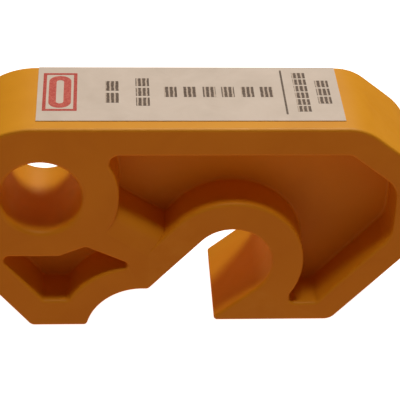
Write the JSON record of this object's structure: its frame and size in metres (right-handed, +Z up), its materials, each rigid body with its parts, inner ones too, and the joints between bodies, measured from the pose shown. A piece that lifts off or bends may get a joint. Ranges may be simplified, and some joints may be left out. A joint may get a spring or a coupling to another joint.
{
  "type": "lockout hasp",
  "caption": "Plastic lockout hook block: a padlock ring at one end, a slanted hook slot underneath, cored-out sides and a label on top.",
  "frame": {"origin": "on the ground plane under the middle of the block, at the level of the toe", "axes": "+X along the block from the padlock ring to the hook end, +Y from the front face to the back face, +Z up towards the label"},
  "size_m": [0.0952, 0.0254, 0.0485],
  "materials": {
    "block": "satin moulded, orange-yellow",
    "adhesive": "clear to milky",
    "film": "satin white vinyl",
    "red_print": "printed",
    "dark_print": "printed"
  },
  "bodies": {
    "root": {"hasp_block": "block", "label_adhesive": "adhesive", "label_film": "film", "label_header_frame": "red_print", "label_header_oval": "red_print", "label_line_1": "dark_print", "label_line_2": "dark_print", "label_spaced_line": "dark_print", "label_rule": "dark_print", "label_line_3": "dark_print", "label_line_4": "dark_print"}
  },
  "joints": []
}
